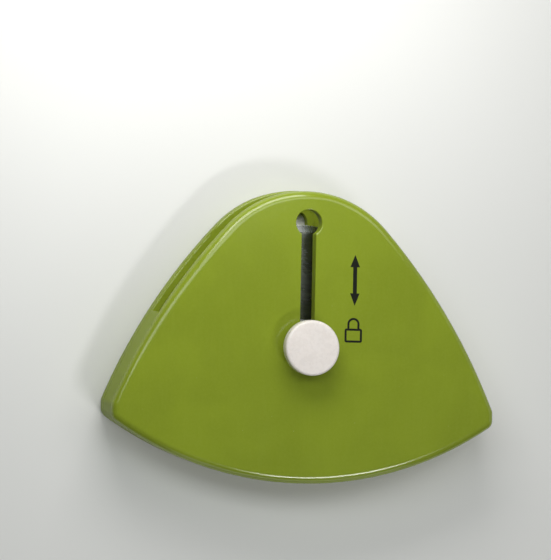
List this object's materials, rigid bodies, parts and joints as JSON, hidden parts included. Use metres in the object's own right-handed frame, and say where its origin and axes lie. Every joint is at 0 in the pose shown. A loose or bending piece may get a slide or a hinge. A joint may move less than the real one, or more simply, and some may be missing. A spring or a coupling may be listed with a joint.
{
  "type": "retractable pizza cutter",
  "caption": "Flat palm-sized case that hides a round steel cutting blade; a push button unlocks the blade and slides it out past the rounded end, where it locks and rolls.",
  "frame": {"origin": "centre of the case outline (its bounding box, blade retracted), on the flat back face", "axes": "+Z out of the front face that carries the button, +Y towards the rounded end where the blade comes out, +X across the widest part of the case"},
  "size_m": [0.0922, 0.069, 0.0203],
  "materials": {
    "case_plastic": "smooth moulded ABS, lime green, light gloss",
    "button_plastic": "smooth moulded plastic, white",
    "print_ink": "thin pad-printed ink, near black",
    "blade_steel": "stainless sheet, fine circular grain, ground edge",
    "pin_steel": "turned stainless",
    "plated_steel": "zinc plated",
    "spring_steel": "drawn wire and stamped strip",
    "slider_plastic": "natural acetal",
    "hub_plastic": "moulded acetal, dark grey",
    "washer_plastic": "low-friction sheet"
  },
  "bodies": {
    "case": {"front_shell": "case_plastic", "rear_shell": "case_plastic", "case_screws": "plated_steel", "arrow_mark": "print_ink", "padlock_mark": "print_ink"},
    "carriage": {"slider": "slider_plastic", "lock_spring": "spring_steel", "retaining_clip": "spring_steel", "thrust_washers": "washer_plastic"},
    "button": {"push_button": "button_plastic", "axle_pin": "pin_steel", "lock_plunger": "slider_plastic"},
    "blade": {"cutting_blade": "blade_steel", "blade_hub": "hub_plastic", "hub_plate": "pin_steel"}
  },
  "joints": [
    {"name": "blade_slide", "type": "slide", "parent": "case", "child": "carriage", "axis": [0, 1, 0], "range_m": [0, 0.029]},
    {"name": "button_release", "type": "slide", "parent": "carriage", "child": "button", "axis": [0, 0, 1], "range_m": [0, 0.0014], "stiffness_N_per_m": 800, "springref_m": 0.003, "deforming": ["lock_spring"]},
    {"name": "blade_spin", "type": "hinge", "parent": "carriage", "child": "blade", "pos_m": [0, -0.00228, 0.008], "axis": [0, 0, 1], "continuous": true}
  ]
}
